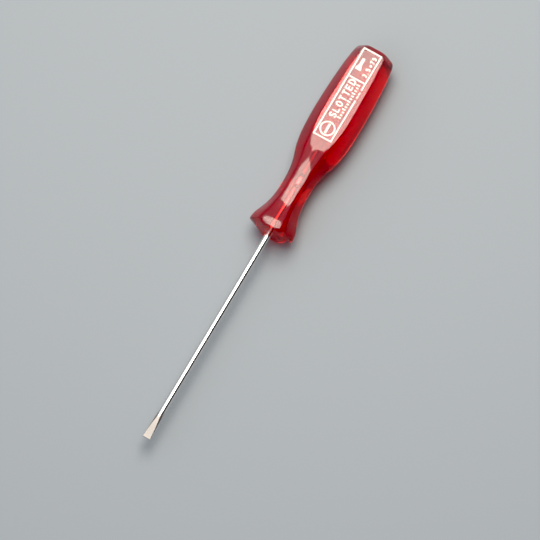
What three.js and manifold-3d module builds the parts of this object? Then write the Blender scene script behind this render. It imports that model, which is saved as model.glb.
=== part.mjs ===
// A small slotted screwdriver with a fixed blade: a clear moulded handle, a forged steel blade pressed into
// it, and a white marking stamped in foil on one of the handle's two marking flats.
//
// Millimetres. The tool lies on its side along X, with the tip towards -X, the butt towards +X and the
// marking up (+Z). The origin is under the middle of the tool, on the surface that the tool lies on.
// Inside the model, x = 0 is the handle's front face, where the blade comes out, and y = z = 0 is its axis.

import * as THREE from 'three';
import { mergeVertices } from 'three/addons/utils/BufferGeometryUtils.js';
import Module from 'manifold-3d';

// ---- Driving dimensions --------------------------------------------------------------------------------

// Blade, which is known by its free length and the width of its tip: 2.5 x 75.
const BLADE_LENGTH = 75;
const SHAFT_RADIUS = 1.0;
const TIP_WIDTH = 2.5;
const TIP_THICKNESS = 0.4;
const TIP_TAPER_LENGTH = 9.5;
const TIP_EASE_SHARE = 0.35;
const TANG_LENGTH = 34;
const WING_HEIGHT = 4.2;
const WING_THICKNESS = 1.1;
const WING_START = 15.8;
const WING_LENGTH = 6.5;
const WING_RAMP_SHARE = 0.35;
const SOCKET_CLEARANCE = 0.05;

// Handle. Its section is a rounded hexagon, whose corners point sideways. Each radius is measured to those
// corners. The corner rounding is a share of that radius, and the crown is the angle that each slightly
// bulging facet turns through on either side. Two outlines run from the front face to the butt: one for the
// sides, and one for the top and bottom. They differ at the front edge, between the neck and the grip, and
// at the butt. An outline leaves and reaches its stations level, and the leaving and arriving lengths say
// for how long. It passes through the nose and the shoulder at a slope instead.
const HANDLE_LENGTH = 67.3;
const FACE_RADIUS = 3.8;
const SIDE_BEVEL_X = 1.45;
const SIDE_BEVEL_RADIUS = 7.1;
const TOP_BEVEL_X = 0.4;
const TOP_BEVEL_RADIUS = 7.0;
const BEVEL_END_LEAD = 0.1;
const BEVEL_END_RISE = 0.8;
const CREST_RADIUS = 7.58;
const CREST_X = 2.0;
const CREST_LEAVING = 3.9;
const TOP_CREST_X = 1.7;
const TOP_CREST_LEAVING = 4.0;
const NECK_RADIUS = 4.63;
const NECK_X = 16.3;
const NECK_ARRIVING = 9.3;
const NECK_LEAVING = 13.2;
const TOP_NECK_LEAVING = 8.0;
const NOSE_RADIUS = 7.36;
const NOSE_X = 33;
const NOSE_SLOPE = 0.1;
const NOSE_REACH = 5.0;
const GRIP_RADIUS = 8.13;
const GRIP_X = 43.5;
const GRIP_ARRIVING = 19.6;
const GRIP_LEAVING = 5.6;
const TOP_GRIP_RADIUS = 7.92;
const TOP_GRIP_X = 45;
const SHOULDER_RADIUS = 7.26;
const SHOULDER_X = 61.5;
const SHOULDER_SLOPE = 0.12;
const SHOULDER_REACH = 3.7;
const BUTT_RADIUS = 5.2;
const BUTT_FULLNESS = 0.7;
const TOP_SHOULDER_RADIUS = 7.9;
const TOP_SHOULDER_X = 64.75;
const TOP_SHOULDER_REACH = 0.6;
const BUTT_BEVEL_RADIUS = 6.9;
const BUTT_BEVEL_X = 65.75;
const CORNERS = 6;
const CORNER_ROUNDING = 0.36;
const FACET_CROWN = 4;
const FLAT_HEIGHT = 6.45;

// Marking, on the upper flat. Its length runs along X and its letters stand towards +Y.
const LABEL_START = 33.4;
const LABEL_LENGTH = 32.2;
const LABEL_HEIGHT = 6.5;
const LABEL_OFFSET_Y = 0.3;
const LINE_WIDTH = 0.5;
const GAP_START = 15.6;
const GAP_END = 19.4;
const DASH_LENGTH = 0.9;
const DIVIDER_X = 55.2;
const DIVIDER_SPACE = 0.15;
const FOIL_THICKNESS = 0.05;
const FOIL_GAP = 0.005;
const EMBLEM_X = 36.9;
const EMBLEM_RADIUS = 2.5;
const EMBLEM_SLOT_LENGTH = 3.4;
const EMBLEM_SLOT_WIDTH = 0.75;
const WORD = 'SLOTTED';
const WORD_X = 41.0;
const WORD_Y = -0.2;
const WORD_PITCH = 2.05;
const WORD_WIDTH = 1.2;
const WORD_HEIGHT = 1.95;
const WORD_PEN = 0.5;
const TICKS = 13;
const TICK_X = 41.75;
const TICK_Y = -1.95;
const TICK_PITCH = 1.0;
const TICK_WIDTH = 0.5;
const SHORT_TICK = 0.8;
const LONG_TICK = 1.2;
const LONG_TICK_EVERY = 3;
const PICTURE_X = 58.1;
const PICTURE_Y = 1.35;
const PICTURE_LENGTH = 4.2;
const PICTURE_HEIGHT = 1.9;
const PICTURE_ROD_SHARE = 0.26;
const PICTURE_HEAD_SHARE = 0.42;
const PICTURE_EDGE_SHARE = 0.45;
const SIZE_Y = -2.15;
const SIZE_WIDTH = 0.7;
const SIZE_HEIGHT = 1.2;
const SIZE_PEN = 0.36;
const SIZE_DIGITS = [['2', 57.1], ['5', 59.25], ['7', 61.95], ['5', 63.3]];
const SIZE_POINT_X = 58.52;
const SIZE_TIMES_X = 61.1;
const SIZE_TIMES_RISE = 0.5;
const SIZE_TIMES_SPAN = 1.0;

// Fineness of the solids.
const ARC_STEPS = 6;
const CURVE_STEPS = 14;
const OUTLINE_STEPS = 40;
const SIDE_OUTLINE_STEPS = [5, 10, 10, 6, 8];
const TOP_OUTLINE_STEPS = [5, 5, 9, 4, 2, 6];
const SHORTEST_STEP = 0.08;
const BLADE_SIDES = 24;

// ---- Materials -----------------------------------------------------------------------------------------

const clearRed = new THREE.MeshStandardMaterial({ color: 0xc2141d, roughness: 0.12, metalness: 0 });
const steel = new THREE.MeshStandardMaterial({ color: 0xc9c8c4, roughness: 0.22, metalness: 1 });
const whiteFoil = new THREE.MeshStandardMaterial({ color: 0xf7f2e8, roughness: 0.45, metalness: 0 });

// ---- Solids from rings of points -----------------------------------------------------------------------

// Joins rings of points, each running the same way round the X axis, into one closed skin.
function loft(rings) {
  const count = rings[0].length;
  const positions = rings.flat().flatMap((point) => point.toArray());
  const indices = [];
  for (let ring = 0; ring < rings.length - 1; ring += 1) {
    for (let side = 0; side < count; side += 1) {
      const here = ring * count + side;
      const beside = ring * count + ((side + 1) % count);
      indices.push(here, beside, here + count);
      indices.push(beside, beside + count, here + count);
    }
  }
  const last = (rings.length - 1) * count;
  for (let side = 1; side < count - 1; side += 1) {
    indices.push(0, side + 1, side);
    indices.push(last, last + side, last + side + 1);
  }
  const geometry = new THREE.BufferGeometry();
  geometry.setAttribute('position', new THREE.Float32BufferAttribute(positions, 3));
  geometry.setIndex(indices);
  return geometry;
}

const wasm = await Module();
wasm.setup();

// Turns a closed geometry into a solid that can be cut and joined.
function toSolid(geometry) {
  const bare = geometry.clone();
  bare.deleteAttribute('normal');
  bare.deleteAttribute('uv');
  const merged = mergeVertices(bare, 1e-4);
  return new wasm.Manifold(
    new wasm.Mesh({
      numProp: 3,
      vertProperties: new Float32Array(merged.attributes.position.array),
      triVerts: new Uint32Array(merged.index.array),
    }),
  );
}

// Turns a solid back into a geometry.
function toGeometry(solid) {
  const mesh = solid.getMesh();
  const geometry = new THREE.BufferGeometry();
  geometry.setAttribute('position', new THREE.Float32BufferAttribute(mesh.vertProperties, 3));
  geometry.setIndex(Array.from(mesh.triVerts));
  geometry.computeVertexNormals();
  return geometry;
}

// ---- Blade ---------------------------------------------------------------------------------------------

// Rises smoothly from 0 to 1 as x goes from start to end.
function ease(x, start, end) {
  return THREE.MathUtils.smoothstep(x, start, end);
}

// How far the blade is flattened into its tip at x, from 0 on the round shaft to 1 at the very end.
function tipFlattening(x) {
  return 1 - ease(x, -BLADE_LENGTH - TIP_TAPER_LENGTH * TIP_EASE_SHARE, -BLADE_LENGTH + TIP_TAPER_LENGTH);
}

// How far the tang is flattened into its wings at x, from 0 on the round stretches to 1 at their middle.
function wingFlattening(x) {
  const end = WING_START + WING_LENGTH;
  const ramp = WING_LENGTH * WING_RAMP_SHARE;
  return ease(x, WING_START, WING_START + ramp) * (1 - ease(x, end - ramp, end));
}

// A section of the blade at x: a round, cut off flat above and below at the tip, which is wide and thin, and
// on both sides at the wings, which stand up and down.
function bladeSection(x, clearance) {
  const tip = tipFlattening(x) / tipFlattening(-BLADE_LENGTH);
  const wing = wingFlattening(x);
  const width = tip * (TIP_WIDTH / 2 - SHAFT_RADIUS) + wing * (WING_THICKNESS / 2 - SHAFT_RADIUS);
  const height = tip * (TIP_THICKNESS / 2 - SHAFT_RADIUS) + wing * (WING_HEIGHT / 2 - SHAFT_RADIUS);
  const halfWidth = SHAFT_RADIUS + width + clearance;
  const halfHeight = SHAFT_RADIUS + height + clearance;
  const radius = Math.max(halfWidth, halfHeight);
  const points = [];
  for (let side = 0; side < BLADE_SIDES; side += 1) {
    const angle = (side / BLADE_SIDES) * 2 * Math.PI;
    const y = THREE.MathUtils.clamp(Math.cos(angle) * radius, -halfWidth, halfWidth);
    const z = THREE.MathUtils.clamp(Math.sin(angle) * radius, -halfHeight, halfHeight);
    points.push(new THREE.Vector3(x, y, z));
  }
  return points;
}

// The whole blade from tip to tang, grown all round by the clearance. Its sections stand close together
// where it changes shape.
function bladeGeometry(clearance) {
  const stations = [];
  for (let step = 0; step <= CURVE_STEPS; step += 1) {
    stations.push(-BLADE_LENGTH + (step / CURVE_STEPS) * TIP_TAPER_LENGTH);
  }
  for (let step = 0; step <= CURVE_STEPS; step += 1) {
    stations.push(WING_START + (step / CURVE_STEPS) * WING_LENGTH);
  }
  stations.push(TANG_LENGTH + clearance);
  return loft(stations.map((x) => bladeSection(x, clearance)));
}

// ---- Handle --------------------------------------------------------------------------------------------

// A curve between two stations of an outline, given as its start, its two handles and its end.
function curve(...points) {
  return new THREE.CubicBezierCurve(...points.map(([x, radius]) => new THREE.Vector2(x, radius)));
}

// The outline of the collar: the rounded end of the front bevel, and the collar's back down to the neck.
function collarCurves(bevelX, bevelRadius, crestX, crestLeaving) {
  const edgeX = bevelX + (crestX - bevelX) * BEVEL_END_LEAD;
  return [
    curve(
      [bevelX, bevelRadius], [edgeX, THREE.MathUtils.lerp(bevelRadius, CREST_RADIUS, BEVEL_END_RISE)],
      [edgeX, CREST_RADIUS], [crestX, CREST_RADIUS],
    ),
    curve(
      [crestX, CREST_RADIUS], [crestX + crestLeaving, CREST_RADIUS],
      [NECK_X - NECK_ARRIVING, NECK_RADIUS], [NECK_X, NECK_RADIUS],
    ),
  ];
}

// The outline of the handle's sides: after the grip, it tapers to the shoulder and rounds into the butt.
const sideOutline = [
  ...collarCurves(SIDE_BEVEL_X, SIDE_BEVEL_RADIUS, CREST_X, CREST_LEAVING),
  curve(
    [NECK_X, NECK_RADIUS], [NECK_X + NECK_LEAVING, NECK_RADIUS],
    [GRIP_X - GRIP_ARRIVING, GRIP_RADIUS], [GRIP_X, GRIP_RADIUS],
  ),
  curve(
    [GRIP_X, GRIP_RADIUS], [GRIP_X + GRIP_LEAVING, GRIP_RADIUS],
    [SHOULDER_X - SHOULDER_REACH, SHOULDER_RADIUS + SHOULDER_SLOPE * SHOULDER_REACH],
    [SHOULDER_X, SHOULDER_RADIUS],
  ),
  curve(
    [SHOULDER_X, SHOULDER_RADIUS],
    [SHOULDER_X + SHOULDER_REACH, SHOULDER_RADIUS - SHOULDER_SLOPE * SHOULDER_REACH],
    [HANDLE_LENGTH, THREE.MathUtils.lerp(BUTT_RADIUS, SHOULDER_RADIUS, BUTT_FULLNESS)],
    [HANDLE_LENGTH, BUTT_RADIUS],
  ),
];

// The outline of its top and bottom: it rises sooner to the nose of the marking flats, stays almost level,
// and turns down into a bevel at the butt.
const topOutline = [
  ...collarCurves(TOP_BEVEL_X, TOP_BEVEL_RADIUS, TOP_CREST_X, TOP_CREST_LEAVING),
  curve(
    [NECK_X, NECK_RADIUS], [NECK_X + TOP_NECK_LEAVING, NECK_RADIUS],
    [NOSE_X - NOSE_REACH, NOSE_RADIUS - NOSE_SLOPE * NOSE_REACH], [NOSE_X, NOSE_RADIUS],
  ),
  curve(
    [NOSE_X, NOSE_RADIUS], [NOSE_X + NOSE_REACH, NOSE_RADIUS + NOSE_SLOPE * NOSE_REACH],
    [TOP_GRIP_X - NOSE_REACH, TOP_GRIP_RADIUS], [TOP_GRIP_X, TOP_GRIP_RADIUS],
  ),
  curve(
    [TOP_GRIP_X, TOP_GRIP_RADIUS], [TOP_GRIP_X + GRIP_LEAVING, TOP_GRIP_RADIUS],
    [TOP_SHOULDER_X - GRIP_LEAVING, TOP_SHOULDER_RADIUS], [TOP_SHOULDER_X, TOP_SHOULDER_RADIUS],
  ),
  curve(
    [TOP_SHOULDER_X, TOP_SHOULDER_RADIUS], [TOP_SHOULDER_X + TOP_SHOULDER_REACH, TOP_SHOULDER_RADIUS],
    [BUTT_BEVEL_X, BUTT_BEVEL_RADIUS], [HANDLE_LENGTH, BUTT_RADIUS],
  ),
];

// The radius that an outline has at x. In front of its first curve, it is the straight bevel.
function radiusAt(outline, x) {
  const points = [new THREE.Vector2(0, FACE_RADIUS)];
  outline.forEach((part) => points.push(...part.getPoints(OUTLINE_STEPS)));
  const next = Math.max(1, points.findIndex((point) => point.x >= x));
  const share = (x - points[next - 1].x) / (points[next].x - points[next - 1].x || 1);
  return THREE.MathUtils.lerp(points[next - 1].y, points[next].y, share);
}

// Where the handle's sections stand. They are close together where an outline turns quickly.
function handleStations() {
  const stations = new Set([0]);
  [[sideOutline, SIDE_OUTLINE_STEPS], [topOutline, TOP_OUTLINE_STEPS]].forEach(([outline, steps]) => {
    outline.forEach((part, index) => {
      part.getPoints(steps[index]).forEach((point) => stations.add(point.x));
    });
  });
  const sorted = [...stations].sort((a, b) => b - a);
  return sorted.filter((x, index) => index === 0 || sorted[index - 1] - x > SHORTEST_STEP).reverse();
}

// A section of the handle at x: a hexagon with rounded corners, pointing along +Y and -Y, its facets up and
// down. It is made of touching arcs, tight at the corners and nearly straight along the facets. The side
// radius scales it along Y and the top radius along Z.
function handleSection(x, sideRadius, topRadius) {
  const { tight, reach } = sectionArcs(1);
  const crown = THREE.MathUtils.degToRad(FACET_CROWN);
  const points = [];
  for (let corner = 0; corner < CORNERS; corner += 1) {
    const facing = (corner / CORNERS) * 2 * Math.PI;
    for (let step = 0; step <= ARC_STEPS; step += 1) {
      const angle = facing + (step / ARC_STEPS - 0.5) * ((2 * Math.PI) / CORNERS - 2 * crown);
      const y = reach * Math.cos(facing) + tight * Math.cos(angle);
      const z = reach * Math.sin(facing) + tight * Math.sin(angle);
      points.push(new THREE.Vector3(x, y * sideRadius, z * topRadius));
    }
    const middle = facing + Math.PI / CORNERS;
    const y = facetHeight(1) * Math.cos(middle);
    const z = facetHeight(1) * Math.sin(middle);
    points.push(new THREE.Vector3(x, y * sideRadius, z * topRadius));
  }
  return points;
}

// The radii of a section's tight and wide arcs, and how far the tight arcs' centres stand from the axis.
function sectionArcs(radius) {
  const tight = radius * CORNER_ROUNDING;
  const reach = radius - tight;
  const wide = tight + reach / (2 * Math.sin(THREE.MathUtils.degToRad(FACET_CROWN)));
  return { tight, wide, reach };
}

// How far the middle of a facet stands from the axis.
function facetHeight(radius) {
  const { tight, wide, reach } = sectionArcs(radius);
  const crown = THREE.MathUtils.degToRad(FACET_CROWN);
  return reach * Math.cos(Math.PI / CORNERS) + tight * Math.cos(crown) + wide * (1 - Math.cos(crown));
}

// The slab that is cut away to leave a marking flat: side is 1 above the axis and -1 below it.
function flatCutter(side) {
  const depth = GRIP_RADIUS;
  const slab = new THREE.BoxGeometry(HANDLE_LENGTH, 4 * GRIP_RADIUS, depth);
  slab.translate(NECK_X + HANDLE_LENGTH / 2, 0, side * (FLAT_HEIGHT + depth / 2));
  return toSolid(slab);
}

function handleGeometry() {
  const skin = loft(handleStations().map((x) => (
    handleSection(x, radiusAt(sideOutline, x), radiusAt(topOutline, x))
  )));
  const body = toSolid(skin)
    .subtract(flatCutter(1))
    .subtract(flatCutter(-1))
    .subtract(toSolid(bladeGeometry(SOCKET_CLEARANCE)));
  return toGeometry(body);
}

// ---- Foil marking --------------------------------------------------------------------------------------

// Lays a flat shape down as foil on the upper marking flat, with the shape's own origin at (x, y).
function foil(shape, x, y) {
  const geometry = new THREE.ExtrudeGeometry(shape, {
    depth: FOIL_THICKNESS,
    bevelEnabled: false,
    curveSegments: CURVE_STEPS,
  });
  geometry.translate(x, LABEL_OFFSET_Y + y, FLAT_HEIGHT + FOIL_GAP);
  return geometry;
}

// A bar, centred on its own origin.
function bar(length, height) {
  return polygon([
    [-length / 2, -height / 2], [length / 2, -height / 2],
    [length / 2, height / 2], [-length / 2, height / 2],
  ]);
}

function polygon(corners) {
  return new THREE.Shape(corners.map(([x, y]) => new THREE.Vector2(x, y)));
}

// The outline of a pen stroke of one width along a line of points, with mitred corners.
function stroke(points, pen) {
  const left = [];
  const right = [];
  points.forEach((point, index) => {
    const first = index === 0;
    const last = index === points.length - 1;
    const from = points[first ? 0 : index - 1];
    const to = points[last ? index : index + 1];
    const arriving = (first ? points[1] : point).clone().sub(from).normalize();
    const leaving = to.clone().sub(last ? from : point).normalize();
    const along = arriving.clone().add(leaving).normalize();
    const across = new THREE.Vector2(-along.y, along.x).multiplyScalar(pen / 2 / along.dot(leaving));
    left.push(point.clone().add(across));
    right.push(point.clone().sub(across));
  });
  return new THREE.Shape([...left, ...right.reverse()]);
}

// A closed ring, round or oval, centred on its own origin.
function ring(halfWidth, halfHeight, line) {
  const shape = new THREE.Shape();
  shape.absellipse(0, 0, halfWidth, halfHeight, 0, 2 * Math.PI);
  const hole = new THREE.Path();
  hole.absellipse(0, 0, halfWidth - line, halfHeight - line, 0, 2 * Math.PI, true);
  shape.holes.push(hole);
  return shape;
}

// The line round the label. It is open for a short stretch of its lower side, where two dashes stand.
function borderShape(gapStart, gapEnd) {
  const left = LINE_WIDTH / 2;
  const right = LABEL_LENGTH - LINE_WIDTH / 2;
  const high = (LABEL_HEIGHT - LINE_WIDTH) / 2;
  const corners = [
    [gapEnd, -high], [right, -high], [right, high],
    [left, high], [left, -high], [gapStart, -high],
  ];
  return stroke(corners.map(([x, y]) => new THREE.Vector2(x, y)), LINE_WIDTH);
}

// The pen strokes of each glyph, in a box that is 1 wide and 1 high: straight lines or smooth bends.
const straight = (...points) => ({ points, smooth: false });
const bend = (...points) => ({ points, smooth: true });
const GLYPHS = {
  S: [bend([0.96, 0.8], [0.72, 0.99], [0.26, 0.98], [0.04, 0.76], [0.24, 0.55], [0.76, 0.45], [0.96, 0.24],
    [0.74, 0.02], [0.28, 0.01], [0.04, 0.2])],
  L: [straight([0, 1], [0, 0], [1, 0])],
  T: [straight([-0.1, 1], [1.1, 1]), straight([0.5, 1], [0.5, -0.13])],
  E: [straight([1, 1], [0, 1], [0, 0], [1, 0]), straight([0, 0.5], [0.88, 0.5])],
  D: [straight([0.5, 1], [0, 1], [0, 0], [0.5, 0]),
    bend([0.3, 1], [0.5, 1], [0.86, 0.86], [1, 0.5], [0.86, 0.14], [0.5, 0], [0.3, 0])],
  2: [bend([0.03, 0.76], [0.3, 0.99], [0.74, 0.97], [0.93, 0.68], [0.6, 0.34], [0.2, 0.02]),
    straight([0, 0], [1.05, 0])],
  5: [straight([0.95, 1], [0.12, 1], [0.08, 0.5]),
    bend([0.02, 0.52], [0.5, 0.66], [0.98, 0.34], [0.6, 0], [0, 0.1])],
  7: [straight([0, 1], [1, 1], [0.36, -0.12])],
};

// A glyph's strokes drawn with a pen and joined into one bit of foil, with its lower left corner at (x, y).
function glyph(character, width, height, pen, x, y) {
  if (character === 'O') {
    const oval = ring((width + pen) / 2, (height + pen) / 2, pen);
    return foil(oval, x + width / 2, y + height / 2);
  }
  const solids = GLYPHS[character].map(({ points, smooth }) => {
    const route = points.map(([across, up]) => new THREE.Vector2(across * width, up * height));
    const line = smooth ? new THREE.SplineCurve(route).getPoints(2 * CURVE_STEPS) : route;
    return toSolid(foil(stroke(line, pen), x, y));
  });
  return toGeometry(solids.reduce((whole, part) => whole.add(part)));
}

// A times sign: a cross of two equal strokes at 45 degrees.
function timesShape(size, pen) {
  const corners = [];
  const half = pen / 2;
  for (let arm = 0; arm < 4; arm += 1) {
    const angle = Math.PI / 4 + (arm * Math.PI) / 2;
    for (const [out, side] of [[size / 2, -half], [size / 2, half], [half, half]]) {
      const x = out * Math.cos(angle) - side * Math.sin(angle);
      const y = out * Math.sin(angle) + side * Math.cos(angle);
      corners.push([x, y]);
    }
  }
  return polygon(corners);
}

// A small picture of a blade's flat tip, pointing towards the neck.
function tipPicture(length, height) {
  const rod = height * PICTURE_ROD_SHARE;
  const head = length * PICTURE_HEAD_SHARE;
  const edge = head * PICTURE_EDGE_SHARE;
  return polygon([
    [0, -height / 2], [edge, -height / 2], [head, -rod], [length, -rod],
    [length, rod], [head, rod], [edge, height / 2], [0, height / 2],
  ]);
}

// ---- The tool ------------------------------------------------------------------------------------------

const screwdriver = new THREE.Group();
screwdriver.name = 'screwdriver';

function add(name, geometry, material) {
  geometry.computeVertexNormals();
  const mesh = new THREE.Mesh(geometry, material);
  mesh.name = name;
  screwdriver.add(mesh);
}

add('handle', handleGeometry(), clearRed);
add('blade', bladeGeometry(0), steel);

const labelLow = (LINE_WIDTH - LABEL_HEIGHT) / 2;
add('label_border', foil(borderShape(GAP_START, GAP_END), LABEL_START, 0), whiteFoil);
for (const dash of [1, 2]) {
  const place = GAP_START + (dash * (GAP_END - GAP_START)) / 3;
  add(`label_dash_${dash}`, foil(bar(DASH_LENGTH, LINE_WIDTH), LABEL_START + place, labelLow), whiteFoil);
}
const dividerHeight = LABEL_HEIGHT - 2 * (LINE_WIDTH + DIVIDER_SPACE);
add('label_divider', foil(bar(LINE_WIDTH, dividerHeight), DIVIDER_X, 0), whiteFoil);

// The emblem is the plain sign for a slotted screw: its head, seen from above, with the slot across it.
add('emblem_screw_head', foil(ring(EMBLEM_RADIUS, EMBLEM_RADIUS, LINE_WIDTH), EMBLEM_X, 0), whiteFoil);
add('emblem_slot', foil(bar(EMBLEM_SLOT_LENGTH, EMBLEM_SLOT_WIDTH), EMBLEM_X, 0), whiteFoil);

// The kind of tip, in plain capitals.
const seen = {};
[...WORD].forEach((letter, index) => {
  seen[letter] = (seen[letter] ?? 0) + 1;
  const name = `letter_${letter.toLowerCase()}_${seen[letter]}`;
  const geometry = glyph(letter, WORD_WIDTH, WORD_HEIGHT, WORD_PEN, WORD_X + index * WORD_PITCH, WORD_Y);
  add(name, geometry, whiteFoil);
});

// A row of plain ticks under the word, every third one long.
for (let tick = 0; tick < TICKS; tick += 1) {
  const height = tick % LONG_TICK_EVERY === 0 ? LONG_TICK : SHORT_TICK;
  const geometry = foil(bar(TICK_WIDTH, height), TICK_X + tick * TICK_PITCH, TICK_Y + height / 2);
  add(`tick_${String(tick + 1).padStart(2, '0')}`, geometry, whiteFoil);
}

// Beyond the divider: a picture of the tip, and the blade's size under it.
add('tip_picture', foil(tipPicture(PICTURE_LENGTH, PICTURE_HEIGHT), PICTURE_X, PICTURE_Y), whiteFoil);
SIZE_DIGITS.forEach(([digit, x], index) => {
  const geometry = glyph(digit, SIZE_WIDTH, SIZE_HEIGHT, SIZE_PEN, x, SIZE_Y);
  add(`size_digit_${index + 1}`, geometry, whiteFoil);
});
add('size_point', foil(bar(SIZE_PEN, SIZE_PEN), SIZE_POINT_X, SIZE_Y), whiteFoil);
const times = timesShape(SIZE_TIMES_SPAN, SIZE_PEN);
add('size_times', foil(times, SIZE_TIMES_X, SIZE_Y + SIZE_TIMES_RISE), whiteFoil);

// Lays the tool on its side: the collar's lowest facet touches the surface, and its middle is at x = 0.
screwdriver.position.set((BLADE_LENGTH - HANDLE_LENGTH) / 2, 0, facetHeight(CREST_RADIUS));

export default screwdriver;
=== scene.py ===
"""A small slotted screwdriver with a fixed blade: a clear red handle, a plated steel blade, a stamped marking.

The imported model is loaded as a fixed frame, which gives every place. This script works out the smooth surfaces
of the handle and the blade, gives each finish its material, and sets up a pale floor, soft studio light and the
camera. Everything is in metres, in the frame's own axes: X along the tool from tip to butt, Z up out of the
marked flat.
"""

from __future__ import annotations

import logging
import math
from dataclasses import dataclass
from enum import Enum
from typing import Sequence

import bpy
import numpy as np
from mathutils import Matrix, Vector

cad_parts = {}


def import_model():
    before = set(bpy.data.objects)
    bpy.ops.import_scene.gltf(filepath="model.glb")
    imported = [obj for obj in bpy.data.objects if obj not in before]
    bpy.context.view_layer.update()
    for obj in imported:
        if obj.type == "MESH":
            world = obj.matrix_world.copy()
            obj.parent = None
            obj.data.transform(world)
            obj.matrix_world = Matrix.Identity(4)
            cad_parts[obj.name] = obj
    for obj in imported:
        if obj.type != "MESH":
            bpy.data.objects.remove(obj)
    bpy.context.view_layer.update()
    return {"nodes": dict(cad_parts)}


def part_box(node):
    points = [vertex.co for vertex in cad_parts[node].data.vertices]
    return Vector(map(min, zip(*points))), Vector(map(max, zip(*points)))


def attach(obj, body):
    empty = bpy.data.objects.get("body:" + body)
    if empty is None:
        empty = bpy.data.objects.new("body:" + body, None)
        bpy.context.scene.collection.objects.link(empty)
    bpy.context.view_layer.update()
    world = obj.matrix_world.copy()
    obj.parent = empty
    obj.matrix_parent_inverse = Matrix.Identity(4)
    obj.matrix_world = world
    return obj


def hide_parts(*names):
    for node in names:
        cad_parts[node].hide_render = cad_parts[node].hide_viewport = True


LOG = logging.getLogger("screwdriver")
MM = 0.001

# Half of the angle between two corners of the handle's section.
HALF_FACET = math.pi / 6

# The darkest value that is still shown as more than black.
BLACK_LEVEL = 0.035

# The places of a Mix node's two colour inputs and its colour output, which share their names with other sockets.
MIX_FIRST, MIX_SECOND, MIX_COLOUR = 6, 7, 2


class Slot(Enum):
    """The record's material slots."""

    PLASTIC = "handle_plastic"
    STEEL = "blade_steel"
    FOIL = "marking_foil"


# ---------------------------------------------------------------------------------------------------------
# Surfaces worked out as whole arrays
# ---------------------------------------------------------------------------------------------------------


def bezier(points: Sequence[tuple[float, float]], steps: int) -> np.ndarray:
    """Samples a cubic curve evenly in its parameter.

    The curve is the sum of its four points, weighted by the cubic Bernstein polynomials.

    Args:
        points: The start, the two handles and the end.
        steps: How many stretches the curve is cut into.

    Returns:
        An array of steps + 1 rows of (along, radius).
    """
    t = np.linspace(0.0, 1.0, steps + 1)[:, None]
    start, leave, arrive, end = (np.array(p, float) for p in points)
    s = 1.0 - t
    return s**3 * start + 3 * s**2 * t * leave + 3 * s * t**2 * arrive + t**3 * end


def stretch(
    start: tuple[float, float],
    end: tuple[float, float],
    leaving: float,
    arriving: float,
    steps: int,
    slopes: tuple[float, float] = (0.0, 0.0),
) -> np.ndarray:
    """Samples an outline between two stations.

    It is a cubic curve, whose two handles lie on the straight lines through the stations at their slopes.

    Args:
        start: The first station, as (along, radius).
        end: The second station.
        leaving: How far the first handle stands from the first station, along the tool.
        arriving: How far the second handle stands from the second station.
        steps: How many stretches the curve is cut into.
        slopes: How steep the outline is at the two stations.

    Returns:
        An array of steps + 1 rows of (along, radius).
    """
    leave = (start[0] + leaving, start[1] + slopes[0] * leaving)
    arrive = (end[0] - arriving, end[1] - slopes[1] * arriving)
    return bezier([start, leave, arrive, end], steps)


def smooth_step(value: np.ndarray, start: float, end: float) -> np.ndarray:
    """Rises from 0 at start to 1 at end as 3t^2 - 2t^3, with t the share of the way.

    Args:
        value: Where to work it out.
        start: Where it is 0.
        end: Where it is 1.

    Returns:
        An array of the same shape as value.
    """
    t = np.clip((value - start) / (end - start), 0.0, 1.0)
    return t * t * (3.0 - 2.0 * t)


def soft_minimum(a: np.ndarray, b: np.ndarray | float, rounding: np.ndarray | float) -> np.ndarray:
    """The smaller of two heights, with the crease between them rounded off.

    Where the two are closer than the rounding, a parabola is taken away. It is deepest where they meet, by a
    quarter of the rounding.

    Args:
        a: The first height.
        b: The second height.
        rounding: How close the two are where the rounding starts.

    Returns:
        An array of the same shape as a.
    """
    close = np.maximum(rounding - np.abs(a - b), 0.0) / rounding
    return np.minimum(a, b) - close * close * rounding * 0.25


def mirror_quadrant(across: np.ndarray, up: np.ndarray) -> tuple[np.ndarray, np.ndarray]:
    """Completes a section from the quarter of it where both coordinates are positive.

    The quarter runs from the +Y axis to the +Z axis. It is mirrored in Z's plane and then in Y's plane, leaving
    out the points that would be there twice.

    Args:
        across: Y of the quarter's points, one row for each section.
        up: Z of the same points.

    Returns:
        Y and Z of the whole ring of points, running from +Y by +Z, -Y and -Z.
    """
    back = slice(-2, None, -1)
    y = np.hstack([across, -across[:, back], -across[:, 1:], across[:, -2:0:-1]])
    z = np.hstack([up, up[:, back], -up[:, 1:], -up[:, -2:0:-1]])
    return y, z


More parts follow.
